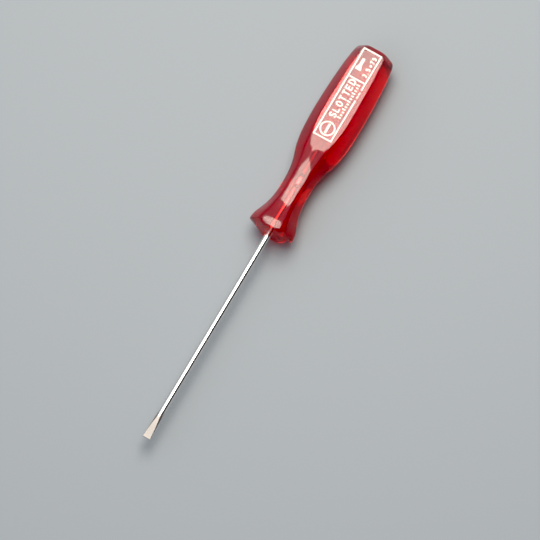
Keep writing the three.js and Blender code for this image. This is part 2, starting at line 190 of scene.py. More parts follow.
def mesh_from_rings(name: str, rings: np.ndarray) -> bpy.types.Object:
    """Makes a closed smooth mesh from rings of points.

    Neighbouring rings are joined by quads, and the first and last rings are closed by fans to one point at
    their middle.

    Args:
        name: The piece's name.
        rings: An array of ring, point and coordinate. The rings run along +X, and each runs from +Y to +Z.

    Returns:
        The new object, at the origin.
    """
    count, sides = rings.shape[:2]
    index = np.arange(count * sides).reshape(count, sides)
    beside = np.roll(index, -1, axis=1)
    quads = np.stack([index[:-1], beside[:-1], beside[1:], index[1:]], axis=-1).reshape(-1, 4)
    poles = np.stack([rings[0].mean(axis=0), rings[-1].mean(axis=0)])
    first, last = count * sides, count * sides + 1
    start_fan = np.stack([beside[0], index[0], np.full(sides, first)], axis=-1)
    end_fan = np.stack([index[-1], beside[-1], np.full(sides, last)], axis=-1)
    points = np.vstack([rings.reshape(-1, 3), poles])
    mesh = bpy.data.meshes.new(name)
    mesh.from_pydata(points.tolist(), [], quads.tolist() + start_fan.tolist() + end_fan.tolist())
    mesh.polygons.foreach_set("use_smooth", np.ones(len(mesh.polygons), dtype=bool))
    mesh.update()
    piece = bpy.data.objects.new(name, mesh)
    bpy.context.scene.collection.objects.link(piece)
    return piece


# ---------------------------------------------------------------------------------------------------------
# Finishes
# ---------------------------------------------------------------------------------------------------------


def new_material(name: str) -> tuple[bpy.types.Material, bpy.types.Node]:
    """Starts a material that has only its output node.

    Args:
        name: The material's name.

    Returns:
        The material and its output node.
    """
    material = bpy.data.materials.new(name)
    material.use_nodes = True
    material.node_tree.nodes.clear()
    output = material.node_tree.nodes.new("ShaderNodeOutputMaterial")
    output.label = "Surface and inside"
    output.location = (900, 0)
    return material, output


@dataclass(frozen=True)
class ClearPlastic:
    """Clear red cellulose plastic: it is tinted all through, and its polished skin has fine scratches."""

    name: str = "clear_red_plastic"
    tint: tuple[float, float, float, float] = (0.87, 0.09, 0.155, 1.0)
    clearness: float = 0.89
    body_colour: tuple[float, float, float, float] = (0.93, 0.46, 0.0, 1.0)
    body_density: float = 240.0
    refraction: float = 1.46
    roughness: float = 0.035
    scratched_roughness: float = 0.105
    wave_scale: float = 180.0
    wave_strength: float = 0.25
    wave_depth: float = 0.06 * MM
    scratch_turn: tuple[float, float, float] = (0.3, 0.5, 0.7)
    scratch_scale: tuple[float, float, float] = (500.0, 5200.0, 5200.0)
    scratch_strength: float = 0.12
    scratch_depth: float = 0.01 * MM

    def make(self) -> bpy.types.Material:
        """Builds the material.

        Returns:
            The finished material.
        """
        material, output = new_material(self.name)
        nodes = material.node_tree.nodes
        links = material.node_tree.links

        body_frame = nodes.new("NodeFrame")
        body_frame.label = "Red all through"
        skin_frame = nodes.new("NodeFrame")
        skin_frame.label = "Polished skin, slightly wavy and scratched"

        place = nodes.new("ShaderNodeTexCoord")
        place.label = "Place on the handle"
        place.location = (-1100, 0)
        place.parent = skin_frame

        waves = nodes.new("ShaderNodeTexNoise")
        waves.label = "Slow waves left by polishing"
        waves.location = (-700, 150)
        waves.parent = skin_frame
        waves.inputs["Scale"].default_value = self.wave_scale
        waves.inputs["Detail"].default_value = 1.0
        links.new(place.outputs["Object"], waves.inputs["Vector"])

        grain = nodes.new("ShaderNodeMapping")
        grain.label = "Scratches run round and along"
        grain.location = (-900, -200)
        grain.parent = skin_frame
        grain.inputs["Rotation"].default_value = self.scratch_turn
        grain.inputs["Scale"].default_value = self.scratch_scale
        links.new(place.outputs["Object"], grain.inputs["Vector"])

        scratches = nodes.new("ShaderNodeTexNoise")
        scratches.label = "Fine handling scratches"
        scratches.location = (-700, -200)
        scratches.parent = skin_frame
        scratches.inputs["Scale"].default_value = 1.0
        scratches.inputs["Detail"].default_value = 4.0
        scratches.inputs["Roughness"].default_value = 0.6
        links.new(grain.outputs["Vector"], scratches.inputs["Vector"])

        dulling = nodes.new("ShaderNodeMapRange")
        dulling.label = "A little duller where it is scratched"
        dulling.location = (-450, -350)
        dulling.parent = skin_frame
        dulling.inputs["From Min"].default_value = 0.4
        dulling.inputs["From Max"].default_value = 0.8
        dulling.inputs["To Min"].default_value = self.roughness
        dulling.inputs["To Max"].default_value = self.scratched_roughness
        links.new(scratches.outputs["Fac"], dulling.inputs["Value"])

        wave_bump = nodes.new("ShaderNodeBump")
        wave_bump.label = "Polishing waves"
        wave_bump.location = (-250, 150)
        wave_bump.parent = skin_frame
        wave_bump.inputs["Strength"].default_value = self.wave_strength
        wave_bump.inputs["Distance"].default_value = self.wave_depth
        links.new(waves.outputs["Fac"], wave_bump.inputs["Height"])

        scratch_bump = nodes.new("ShaderNodeBump")
        scratch_bump.label = "Scratch depth"
        scratch_bump.location = (0, 0)
        scratch_bump.parent = skin_frame
        scratch_bump.inputs["Strength"].default_value = self.scratch_strength
        scratch_bump.inputs["Distance"].default_value = self.scratch_depth
        links.new(scratches.outputs["Fac"], scratch_bump.inputs["Height"])
        links.new(wave_bump.outputs["Normal"], scratch_bump.inputs["Normal"])

        skin = nodes.new("ShaderNodeBsdfPrincipled")
        skin.label = "Clear skin"
        skin.location = (400, 100)
        skin.inputs["Base Color"].default_value = self.tint
        skin.inputs["IOR"].default_value = self.refraction
        skin.inputs["Transmission Weight"].default_value = self.clearness
        links.new(dulling.outputs["Result"], skin.inputs["Roughness"])
        links.new(scratch_bump.outputs["Normal"], skin.inputs["Normal"])
        links.new(skin.outputs["BSDF"], output.inputs["Surface"])

        inside = nodes.new("ShaderNodeVolumeAbsorption")
        inside.label = "Red dye"
        inside.location = (400, -450)
        inside.parent = body_frame
        inside.inputs["Color"].default_value = self.body_colour
        inside.inputs["Density"].default_value = self.body_density
        links.new(inside.outputs["Volume"], output.inputs["Volume"])
        return material


@dataclass(frozen=True)
class BladeSteel:
    """Plated steel, bright along the round shaft and ground bare and matt at the tip.

    The ground stretch starts at tip_start and is complete at tip_full, both X positions.
    """

    tip_start: float
    tip_full: float
    name: str = "blade_steel"
    bright: tuple[float, float, float, float] = (0.80, 0.79, 0.77, 1.0)
    ground: tuple[float, float, float, float] = (0.29, 0.262, 0.252, 1.0)
    bright_roughness: float = 0.08
    ground_roughness: float = 0.48
    drawn_scale: tuple[float, float, float] = (60.0, 9000.0, 9000.0)
    ground_turn: tuple[float, float, float] = (0.0, 0.0, 0.12)
    ground_scale: tuple[float, float, float] = (14000.0, 900.0, 900.0)
    drawn_strength: float = 0.05
    ground_strength: float = 0.5
    mark_depth: float = 0.02 * MM

    def make(self) -> bpy.types.Material:
        """Builds the material.

        Returns:
            The finished material.
        """
        material, output = new_material(self.name)
        nodes = material.node_tree.nodes
        links = material.node_tree.links

        tip_frame = nodes.new("NodeFrame")
        tip_frame.label = "Where the tip is ground"
        draw_frame = nodes.new("NodeFrame")
        draw_frame.label = "Lines along the drawn shaft"
        grind_frame = nodes.new("NodeFrame")
        grind_frame.label = "Grinding marks across the tip"

        place = nodes.new("ShaderNodeTexCoord")
        place.label = "Place on the blade"
        place.location = (-1300, 0)

        axes = nodes.new("ShaderNodeSeparateXYZ")
        axes.label = "Distance along the blade"
        axes.location = (-1000, 300)
        axes.parent = tip_frame
        links.new(place.outputs["Object"], axes.inputs["Vector"])

        ground_part = nodes.new("ShaderNodeMapRange")
        ground_part.label = "1 on the ground tip, 0 on the shaft"
        ground_part.location = (-750, 300)
        ground_part.parent = tip_frame
        ground_part.interpolation_type = "SMOOTHSTEP"
        ground_part.inputs["From Min"].default_value = self.tip_start
        ground_part.inputs["From Max"].default_value = self.tip_full
        links.new(axes.outputs["X"], ground_part.inputs["Value"])

        draw_stretch = nodes.new("ShaderNodeMapping")
        draw_stretch.label = "Long and thin"
        draw_stretch.location = (-1000, 0)
        draw_stretch.parent = draw_frame
        draw_stretch.inputs["Scale"].default_value = self.drawn_scale
        links.new(place.outputs["Object"], draw_stretch.inputs["Vector"])

        draw_lines = nodes.new("ShaderNodeTexNoise")
        draw_lines.label = "Drawing lines"
        draw_lines.location = (-750, 0)
        draw_lines.parent = draw_frame
        draw_lines.inputs["Scale"].default_value = 1.0
        draw_lines.inputs["Detail"].default_value = 3.0
        links.new(draw_stretch.outputs["Vector"], draw_lines.inputs["Vector"])

        grind_stretch = nodes.new("ShaderNodeMapping")
        grind_stretch.label = "Short marks across"
        grind_stretch.location = (-1000, -350)
        grind_stretch.parent = grind_frame
        grind_stretch.inputs["Rotation"].default_value = self.ground_turn
        grind_stretch.inputs["Scale"].default_value = self.ground_scale
        links.new(place.outputs["Object"], grind_stretch.inputs["Vector"])

        grind_lines = nodes.new("ShaderNodeTexNoise")
        grind_lines.label = "Grinding marks"
        grind_lines.location = (-750, -350)
        grind_lines.parent = grind_frame
        grind_lines.inputs["Scale"].default_value = 1.0
        grind_lines.inputs["Detail"].default_value = 5.0
        grind_lines.inputs["Roughness"].default_value = 0.65
        links.new(grind_stretch.outputs["Vector"], grind_lines.inputs["Vector"])

        marks = nodes.new("ShaderNodeMix")
        marks.label = "Marks for this stretch"
        marks.location = (-450, -150)
        marks.data_type = "FLOAT"
        links.new(ground_part.outputs["Result"], marks.inputs["Factor"])
        links.new(draw_lines.outputs["Fac"], marks.inputs["A"])
        links.new(grind_lines.outputs["Fac"], marks.inputs["B"])

        colour = nodes.new("ShaderNodeMix")
        colour.label = "Plated or bare"
        colour.location = (-200, 300)
        colour.data_type = "RGBA"
        colour.inputs[MIX_FIRST].default_value = self.bright
        colour.inputs[MIX_SECOND].default_value = self.ground
        links.new(ground_part.outputs["Result"], colour.inputs["Factor"])

        roughness = nodes.new("ShaderNodeMapRange")
        roughness.label = "Bright shaft, matt tip"
        roughness.location = (-200, 50)
        roughness.inputs["To Min"].default_value = self.bright_roughness
        roughness.inputs["To Max"].default_value = self.ground_roughness
        links.new(ground_part.outputs["Result"], roughness.inputs["Value"])

        depth = nodes.new("ShaderNodeMapRange")
        depth.label = "Deeper marks on the tip"
        depth.location = (-200, -300)
        depth.inputs["To Min"].default_value = self.drawn_strength
        depth.inputs["To Max"].default_value = self.ground_strength
        links.new(ground_part.outputs["Result"], depth.inputs["Value"])

        bump = nodes.new("ShaderNodeBump")
        bump.label = "Lines and marks"
        bump.location = (100, -150)
        bump.inputs["Distance"].default_value = self.mark_depth
        links.new(depth.outputs["Result"], bump.inputs["Strength"])
        links.new(marks.outputs["Result"], bump.inputs["Height"])

        metal = nodes.new("ShaderNodeBsdfPrincipled")
        metal.label = "Steel"
        metal.location = (400, 0)
        metal.inputs["Metallic"].default_value = 1.0
        links.new(colour.outputs[MIX_COLOUR], metal.inputs["Base Color"])
        links.new(roughness.outputs["Result"], metal.inputs["Roughness"])
        links.new(bump.outputs["Normal"], metal.inputs["Normal"])
        links.new(metal.outputs["BSDF"], output.inputs["Surface"])
        return material


@dataclass(frozen=True)
class StampedFoil:
    """White hot-stamp foil: chalky, slightly mottled, with pinholes where the red shows through."""

    name: str = "stamped_white_foil"
    white: tuple[float, float, float, float] = (0.70, 0.66, 0.62, 1.0)
    mottled: tuple[float, float, float, float] = (0.62, 0.56, 0.52, 1.0)
    worn: tuple[float, float, float, float] = (0.62, 0.20, 0.18, 1.0)
    roughness: float = 0.5
    mottle_scale: float = 900.0
    pinhole_scale: float = 6500.0
    hole_ends: tuple[float, float] = (0.66, 0.74)
    grain_strength: float = 0.3
    grain_depth: float = 0.01 * MM

    def make(self) -> bpy.types.Material:
        """Builds the material.

        Returns:
            The finished material.
        """
        material, output = new_material(self.name)
        nodes = material.node_tree.nodes
        links = material.node_tree.links

        cover_frame = nodes.new("NodeFrame")
        cover_frame.label = "How well the foil covers"

        place = nodes.new("ShaderNodeTexCoord")
        place.label = "Place on the marking"
        place.location = (-1100, 0)
        place.parent = cover_frame

        mottle = nodes.new("ShaderNodeTexNoise")
        mottle.label = "Uneven pressure"
        mottle.location = (-850, 150)
        mottle.parent = cover_frame
        mottle.inputs["Scale"].default_value = self.mottle_scale
        mottle.inputs["Detail"].default_value = 3.0
        links.new(place.outputs["Object"], mottle.inputs["Vector"])

        pinholes = nodes.new("ShaderNodeTexNoise")
        pinholes.label = "Pinholes"
        pinholes.location = (-850, -150)
        pinholes.parent = cover_frame
        pinholes.inputs["Scale"].default_value = self.pinhole_scale
        pinholes.inputs["Detail"].default_value = 2.0
        links.new(place.outputs["Object"], pinholes.inputs["Vector"])

        thin = nodes.new("ShaderNodeMix")
        thin.label = "White, or thin where pressed lightly"
        thin.location = (-550, 150)
        thin.parent = cover_frame
        thin.data_type = "RGBA"
        thin.inputs[MIX_FIRST].default_value = self.white
        thin.inputs[MIX_SECOND].default_value = self.mottled
        links.new(mottle.outputs["Fac"], thin.inputs["Factor"])

        holes = nodes.new("ShaderNodeMapRange")
        holes.label = "Only the deepest spots are holes"
        holes.location = (-550, -150)
        holes.parent = cover_frame
        holes.inputs["From Min"].default_value = self.hole_ends[0]
        holes.inputs["From Max"].default_value = self.hole_ends[1]
        links.new(pinholes.outputs["Fac"], holes.inputs["Value"])

        colour = nodes.new("ShaderNodeMix")
        colour.label = "Red through the pinholes"
        colour.location = (-250, 50)
        colour.data_type = "RGBA"
        colour.inputs[MIX_SECOND].default_value = self.worn
        links.new(holes.outputs["Result"], colour.inputs["Factor"])
        links.new(thin.outputs[MIX_COLOUR], colour.inputs[MIX_FIRST])

        bump = nodes.new("ShaderNodeBump")
        bump.label = "Chalky grain"
        bump.location = (0, -150)
        bump.inputs["Strength"].default_value = self.grain_strength
        bump.inputs["Distance"].default_value = self.grain_depth
        links.new(pinholes.outputs["Fac"], bump.inputs["Height"])

        foil = nodes.new("ShaderNodeBsdfPrincipled")
        foil.label = "Foil"
        foil.location = (400, 0)
        foil.inputs["Roughness"].default_value = self.roughness
        links.new(colour.outputs[MIX_COLOUR], foil.inputs["Base Color"])
        links.new(bump.outputs["Normal"], foil.inputs["Normal"])
        links.new(foil.outputs["BSDF"], output.inputs["Surface"])
        return material


@dataclass(frozen=True)
class PalePaper:
    """The studio's floor: a plain pale matt sheet."""

    name: str = "studio_floor"
    colour: tuple[float, float, float, float] = (0.275, 0.292, 0.318, 1.0)

    def make(self) -> bpy.types.Material:
        """Builds the material.

        Returns:
            The finished material.
        """
        material, output = new_material(self.name)
        paper = material.node_tree.nodes.new("ShaderNodeBsdfDiffuse")
        paper.label = "Matt paper"
        paper.location = (600, 0)
        paper.inputs["Color"].default_value = self.colour
        material.node_tree.links.new(paper.outputs["BSDF"], output.inputs["Surface"])
        return material


# ---------------------------------------------------------------------------------------------------------
# The tool's own pieces
# ---------------------------------------------------------------------------------------------------------


def set_material(piece: bpy.types.Object, material: bpy.types.Material) -> None:
    """Makes a material the only one on a piece.

    Args:
        piece: The mesh object.
        material: Its material.
    """
    piece.data.materials.clear()
    piece.data.materials.append(material)


@dataclass
class Blade:
    """The forged blade: a flat ground tip, a round shaft, and the tang with its wings inside the handle.

    Places along the blade are measured from the handle's front face, which stands at front. The edges of the
    tip's end and of the tang's end are given as points of (distance from that end, growth of the section). The
    grinding starts at ground_start from the tip and is complete at ground_full.
    """

    front: float
    axis_height: float
    length: float = 75 * MM
    shaft_radius: float = 1.0 * MM
    tip_half_width: float = 1.25 * MM
    tip_half_thickness: float = 0.2 * MM
    taper_length: float = 9.5 * MM
    tang_length: float = 34 * MM
    wing_half_span: float = 2.1 * MM
    wing_half_thickness: float = 0.55 * MM
    wing_start: float = 15.8 * MM
    wing_length: float = 6.5 * MM
    tip_ease: float = 0.35
    wing_ramp: float = 0.35
    edge_rounding: float = 0.04 * MM
    least_share: float = math.radians(6.0)
    tip_bevel: float = 0.05 * MM
    tip_edge: tuple[tuple[float, float], ...] = ((0.0, -0.1 * MM), (0.0, -0.05 * MM), (0.02 * MM, -0.015 * MM))
    tang_edge: tuple[tuple[float, float], ...] = ((-0.3 * MM, 0.0), (-0.1 * MM, -0.08 * MM), (0.0, -0.3 * MM))
    ground_start: float = 10.5 * MM
    ground_full: float = 7.0 * MM
    ring_gap: float = 0.5 * MM
    taper_rings: int = 70
    shaft_rings: int = 60
    wing_rings: int = 40
    steps: int = 8

    def half_sizes(self, along: np.ndarray) -> tuple[np.ndarray, np.ndarray]:
        """Half the blade's width, along Y, and half its thickness, along Z.

        Both start from the shaft's radius. Towards the tip, the width grows and the thickness shrinks by a
        smooth step, scaled to be complete at the very end. At the wings, the width shrinks and the thickness
        grows by the product of a rising and a falling smooth step.

        Args:
            along: Distances from the handle's front face.

        Returns:
            Half widths and half thicknesses.
        """
        far = -self.length - self.tip_ease * self.taper_length
        near = -self.length + self.taper_length
        tip = 1.0 - smooth_step(along, far, near)
        tip = tip / (1.0 - smooth_step(np.array(-self.length), far, near))
        ramp = self.wing_ramp * self.wing_length
        end = self.wing_start + self.wing_length
        rise = smooth_step(along, self.wing_start, self.wing_start + ramp)
        wing = rise * (1.0 - smooth_step(along, end - ramp, end))
        width = self.shaft_radius + tip * (self.tip_half_width - self.shaft_radius)
        width = width - wing * (self.shaft_radius - self.wing_half_thickness)
        thickness = self.shaft_radius - tip * (self.shaft_radius - self.tip_half_thickness)
        thickness = thickness + wing * (self.wing_half_span - self.shaft_radius)
        return width, thickness

    def sections(self, along: np.ndarray, growth: np.ndarray | float, steps: int) -> np.ndarray:
        """Rings of points round the blade.

        A section is a circle as large as the larger of the two sizes, cut off flat by the smaller one. A
        quarter of it runs round the circle by angle, in three equal shares of steps: up to where the side flat
        ends, on to where the top flat starts, and on to the top. Where there is no flat, the shares meet a few
        degrees from the axes.

        Args:
            along: Distances from the handle's front face, one for each ring.
            growth: How far the rings stand outside the blade's own surface.
            steps: How many steps each share of a quarter has.

        Returns:
            An array of ring, point and coordinate.
        """
        width, thickness = self.half_sizes(along)
        width = (width + growth)[:, None]
        thickness = (thickness + growth)[:, None]
        radius = np.maximum(width, thickness)
        least, most = self.least_share, math.pi / 2 - self.least_share
        side_end = np.clip(np.arccos(np.clip(width / radius, 0.0, 1.0)), least, most - least)
        top_start = np.clip(np.arcsin(np.clip(thickness / radius, 0.0, 1.0)), side_end + least, most)
        share = np.linspace(0.0, 1.0, steps + 1)[None, 1:]
        angle = np.hstack(
            [
                np.zeros_like(width),
                side_end * share,
                side_end + (top_start - side_end) * share,
                top_start + (math.pi / 2 - top_start) * share,
            ]
        )
        round_y, round_z = radius * np.cos(angle), radius * np.sin(angle)
        across = np.minimum(round_y, soft_minimum(round_y, width, self.edge_rounding))
        up = np.minimum(round_z, soft_minimum(round_z, thickness, self.edge_rounding))
        across[:, -1] = 0.0
        up[:, 0] = 0.0
        y, z = mirror_quadrant(across, up)
        x = np.broadcast_to((self.front + along)[:, None], y.shape)
        return np.stack([x, y, self.axis_height + z], axis=-1)

    def build(self) -> bpy.types.Object:
        """Makes the blade's mesh.

        Returns:
            The blade.
        """
        tip_edge, tang_edge = np.array(self.tip_edge), np.array(self.tang_edge)
        shoulder = self.taper_length - self.length
        plain = np.concatenate(
            [
                np.linspace(self.tip_bevel - self.length, shoulder, self.taper_rings),
                np.linspace(shoulder + self.ring_gap, self.wing_start - self.ring_gap, self.shaft_rings),
                np.linspace(self.wing_start, self.wing_start + self.wing_length, self.wing_rings),
            ]
        )
        along = np.concatenate([tip_edge[:, 0] - self.length, plain, tang_edge[:, 0] + self.tang_length])
        growth = np.concatenate([tip_edge[:, 1], np.zeros(len(plain)), tang_edge[:, 1]])
        return mesh_from_rings("steel_blade", self.sections(along, growth, self.steps))

    def dress(self, piece: bpy.types.Object) -> None:
        """Gives the blade its steel, plated on the shaft and ground matt at the tip.

        Args:
            piece: The blade's mesh object.
        """
        tip = self.front - self.length
        steel = BladeSteel(tip_start=tip + self.ground_start, tip_full=tip + self.ground_full)
        set_material(piece, steel.make())


@dataclass(frozen=True)
class Fineness:
    """How many steps each stretch of the handle is cut into.

    The first group goes along the outlines, the second round a quarter of a section, the third over the faces
    at the ends, and the last along the socket.
    """

    bevel: int = 10
    bevel_end: int = 20
    collar: int = 44
    waist: int = 64
    flare: int = 24
    level: int = 12
    taper: int = 32
    butt: int = 30
    flat_start: int = 30

    corner: int = 12
    facet: int = 8
    upper_corner: int = 11
    flat: int = 14

    front_face: int = 9
    butt_face: int = 7

    tang: int = 3
    wings: int = 23
    shaft: int = 13


@dataclass
class Handle:
    """The moulded handle: a rounded hexagon in section, with a collar, a waist, a grip and two marking flats.

    Radii are measured to the hexagon's corners, which point sideways. Places along the handle are measured from
    its front face, and a station is a place and the radius there. The sides and the top have an outline each,
    which differ at the front edge, between the neck and the grip, and at the butt. An outline leaves and
    reaches its stations level, for as long as the leaving and arriving lengths say, except for the nose and
    the shoulder, which have a slope.
    """

    front: float
    axis_height: float
    blade: Blade
    fineness: Fineness = Fineness()
    length: float = 67.3 * MM
    face_radius: float = 3.8 * MM
    side_bevel: tuple[float, float] = (1.45 * MM, 7.1 * MM)
    top_bevel: tuple[float, float] = (0.4 * MM, 7.0 * MM)
    bevel_end_lead: float = 0.1
    bevel_end_rise: float = 0.8
    crest: tuple[float, float] = (2.0 * MM, 7.58 * MM)
    crest_leaving: float = 3.9 * MM
    top_crest: tuple[float, float] = (1.7 * MM, 7.58 * MM)
    top_crest_leaving: float = 4.0 * MM
    neck: tuple[float, float] = (16.3 * MM, 4.63 * MM)
    neck_arriving: float = 9.3 * MM
    neck_leaving: float = 13.2 * MM
    top_neck_leaving: float = 8.0 * MM
    nose: tuple[float, float] = (33.0 * MM, 7.36 * MM)
    nose_slope: float = 0.1
    nose_reach: float = 5.0 * MM
    grip: tuple[float, float] = (43.5 * MM, 8.13 * MM)
    grip_arriving: float = 19.6 * MM
    grip_leaving: float = 5.6 * MM
    top_grip: tuple[float, float] = (45.0 * MM, 7.92 * MM)
    shoulder: tuple[float, float] = (61.5 * MM, 7.26 * MM)
    shoulder_slope: float = 0.12
    shoulder_reach: float = 3.7 * MM
    butt_radius: float = 5.2 * MM
    butt_fullness: float = 0.7
    top_shoulder: tuple[float, float] = (64.75 * MM, 7.9 * MM)
    top_shoulder_reach: float = 0.6 * MM
    butt_bevel: tuple[float, float] = (65.75 * MM, 6.9 * MM)
    corner_rounding: float = 0.36
    crown: float = math.radians(4.0)
    flat_height: float = 6.45 * MM
    flat_edge_rounding: float = 0.10 * MM
    flat_widest: float = 0.97
    edge_crowding: tuple[float, ...] = (1.0, 0.6, 0.3, 0.0)
    nose_rounding: float = 0.25 * MM
    nose_blend: tuple[float, float] = (33.0 * MM, 37.0 * MM)
    flat_start_zone: tuple[float, float] = (-1.0 * MM, 2.0 * MM)
    least_ring_gap: float = 0.012 * MM
    press_fit: float = 0.01 * MM

    def collar_curves(
        self, bevel: tuple[float, float], crest: tuple[float, float], crest_leaving: float
    ) -> list[np.ndarray]:
        """The outline from the front face to the neck.

        A straight bevel is followed by its rounded end and the collar's back.

        Args:
            bevel: The station where the bevel ends.
            crest: The station where the collar is widest.
            crest_leaving: For how long the outline leaves the crest level.

        Returns:
            One array of (along, radius) for each stretch.
        """
        edge = bevel[0] + (crest[0] - bevel[0]) * self.bevel_end_lead
        risen = bevel[1] + (crest[1] - bevel[1]) * self.bevel_end_rise
        return [
            np.linspace((0.0, self.face_radius), bevel, self.fineness.bevel + 1),
            bezier([bevel, (edge, risen), (edge, crest[1]), crest], self.fineness.bevel_end),
            stretch(crest, self.neck, crest_leaving, self.neck_arriving, self.fineness.collar),
        ]

    def side_outline(self) -> np.ndarray:
        """The outline of the sides: after the grip, it tapers to the shoulder and rounds into the butt.

        Returns:
            An array with a row of (along, radius) for each of its points.
        """
        fine, slope, reach = self.fineness, -self.shoulder_slope, self.shoulder_reach
        waist = stretch(self.neck, self.grip, self.neck_leaving, self.grip_arriving, fine.waist)
        taper = stretch(self.grip, self.shoulder, self.grip_leaving, reach, fine.taper, (0.0, slope))
        leave = (self.shoulder[0] + reach, self.shoulder[1] + slope * reach)
        full = self.butt_radius + (self.shoulder[1] - self.butt_radius) * self.butt_fullness
        end = bezier([self.shoulder, leave, (self.length, full), (self.length, self.butt_radius)], fine.butt)
        collar = self.collar_curves(self.side_bevel, self.crest, self.crest_leaving)
        return np.vstack(collar + [waist, taper, end])

    def top_outline(self) -> np.ndarray:
        """The outline of the top and bottom.

        It rises sooner to the nose of the marking flats, stays almost level, and turns down into a bevel at the
        butt.

        Returns:
            An array with a row of (along, radius) for each of its points.
        """
        fine, slope, reach, level_reach = self.fineness, self.nose_slope, self.nose_reach, self.grip_leaving
        waist = stretch(self.neck, self.nose, self.top_neck_leaving, reach, fine.waist, (0.0, slope))
        flare = stretch(self.nose, self.top_grip, reach, reach, fine.flare, (slope, 0.0))
        level = stretch(self.top_grip, self.top_shoulder, level_reach, level_reach, fine.level)
        leave = (self.top_shoulder[0] + self.top_shoulder_reach, self.top_shoulder[1])
        end = bezier([self.top_shoulder, leave, self.butt_bevel, (self.length, self.butt_radius)], fine.butt)
        collar = self.collar_curves(self.top_bevel, self.top_crest, self.top_crest_leaving)
        return np.vstack(collar + [waist, flare, level, end])

    def arcs(self, radius: np.ndarray | float) -> tuple[np.ndarray | float, ...]:
        """The touching arcs that a section is made of.

        A tight arc turns round each corner. A wide arc turns by the crown on either side of a facet's middle,
        and meets the tight arcs where its own radius ends in their centres.

        Args:
            radius: The section's corner radius.

        Returns:
            The tight arcs' radius, the wide arcs' radius, and how far the tight arcs' centres stand from the
            axis.
        """
        tight = radius * self.corner_rounding
        reach = radius - tight
        return tight, tight + reach / (2 * math.sin(self.crown)), reach

    def facet_height(self, radius: np.ndarray | float) -> np.ndarray | float:
        """How far the middle of a facet stands from the axis.

        Args:
            radius: The section's corner radius.

        Returns:
            The height, of the same shape as radius.
        """
        tight, wide, reach = self.arcs(radius)
        return reach * math.cos(HALF_FACET) + tight * math.cos(self.crown) + wide * (1 - math.cos(self.crown))

    def lower_quarter(self) -> np.ndarray:
        """The part of a section's quarter that no flat can reach: the side corner and the side facet.

        Both are arcs, taken by angle, for a corner radius of 1.

        Returns:
            Y and Z of its points, from the side corner upwards.
        """
        tight, wide, reach = self.arcs(1.0)
        corner_angle = np.linspace(0.0, HALF_FACET - self.crown, self.fineness.corner + 1)
        side_angle = np.linspace(HALF_FACET - self.crown, HALF_FACET + self.crown, self.fineness.facet + 1)[1:]
        centre = self.facet_height(1.0) - wide
        corner = np.stack([reach + tight * np.cos(corner_angle), tight * np.sin(corner_angle)])
        facet = np.stack(
            [
                centre * math.cos(HALF_FACET) + wide * np.cos(side_angle),
                centre * math.sin(HALF_FACET) + wide * np.sin(side_angle),
            ]
        )
        return np.hstack([corner, facet])

    def sections(self, along: np.ndarray, side: np.ndarray, top: np.ndarray) -> np.ndarray:
        """Rings of points round the handle.

        A section is a hexagon of touching arcs, tight at the corners and nearly straight along the facets. The
        side radius scales it along Y and the top radius along Z, and the marking flats cut it off. A quarter of
        it runs by angle round the side corner and the side facet, then by steps in Y over the upper corner to
        the flat's edge, and along the flat to the middle. The steps crowd together within twice the rounding on
        either side of the edge, where the crease is rounded off. In front of the neck, the flats are out of
        reach.

        Args:
            along: Distances from the front face, one for each ring.
            side: The side radius of each ring.
            top: The top radius of each ring.

        Returns:
            An array of ring, point and coordinate.
        """
        side, top = side[:, None], top[:, None]
        tight, wide, reach = self.arcs(1.0)
        height = self.facet_height(1.0)
        out_of_reach = 2 * self.grip[1]
        flat_height = np.where(along < self.neck[0], out_of_reach, self.flat_height)[:, None]
        blend = 1.0 - smooth_step(along, self.nose_blend[0], self.nose_blend[1])[:, None]
        rounding = self.flat_edge_rounding + (self.nose_rounding - self.flat_edge_rounding) * blend

        lower = self.lower_quarter()
        start_y = lower[0, -1]
        centre_y, centre_z = reach * math.sin(HALF_FACET), reach * math.cos(HALF_FACET)
        facet_half = wide * math.sin(self.crown)
        cut = flat_height / top
        climb = np.clip((cut - centre_z) / tight, -1.0, math.cos(self.crown))
        edge_y = np.where(height > cut, centre_y + tight * np.sqrt(1.0 - climb**2), facet_half)
        edge_y = np.clip(edge_y, facet_half, start_y * self.flat_widest)
        band = 2.0 * self.flat_edge_rounding / side
        near = np.array(self.edge_crowding)[None, :] * band
        down = np.linspace(0.0, 1.0, self.fineness.upper_corner + 1)[None, 1:]
        inward = np.linspace(0.0, 1.0, self.fineness.flat + 1)[None, 1:]
        over = start_y - (start_y - edge_y - band) * down
        flat = (edge_y - band) * (1.0 - inward)
        top_y = np.hstack([over, edge_y + near[:, 1:], edge_y - near[:, -2::-1], flat])
        on_facet = height - wide + np.sqrt(np.maximum(wide**2 - top_y**2, 0.0))
        on_corner = centre_z + np.sqrt(np.maximum(tight**2 - (top_y - centre_y) ** 2, 0.0))
        uncut = np.where(top_y < facet_half, on_facet, on_corner) * top

        quarter_y = np.hstack([lower[0][None, :] * side, top_y * side])
        quarter_z = np.hstack([lower[1][None, :] * top, uncut])
        quarter_z = soft_minimum(quarter_z, flat_height, rounding)
        y, z = mirror_quadrant(quarter_y, quarter_z)
        x = np.broadcast_to((self.front + along)[:, None], y.shape)
        return np.stack([x, y, self.axis_height + z], axis=-1)

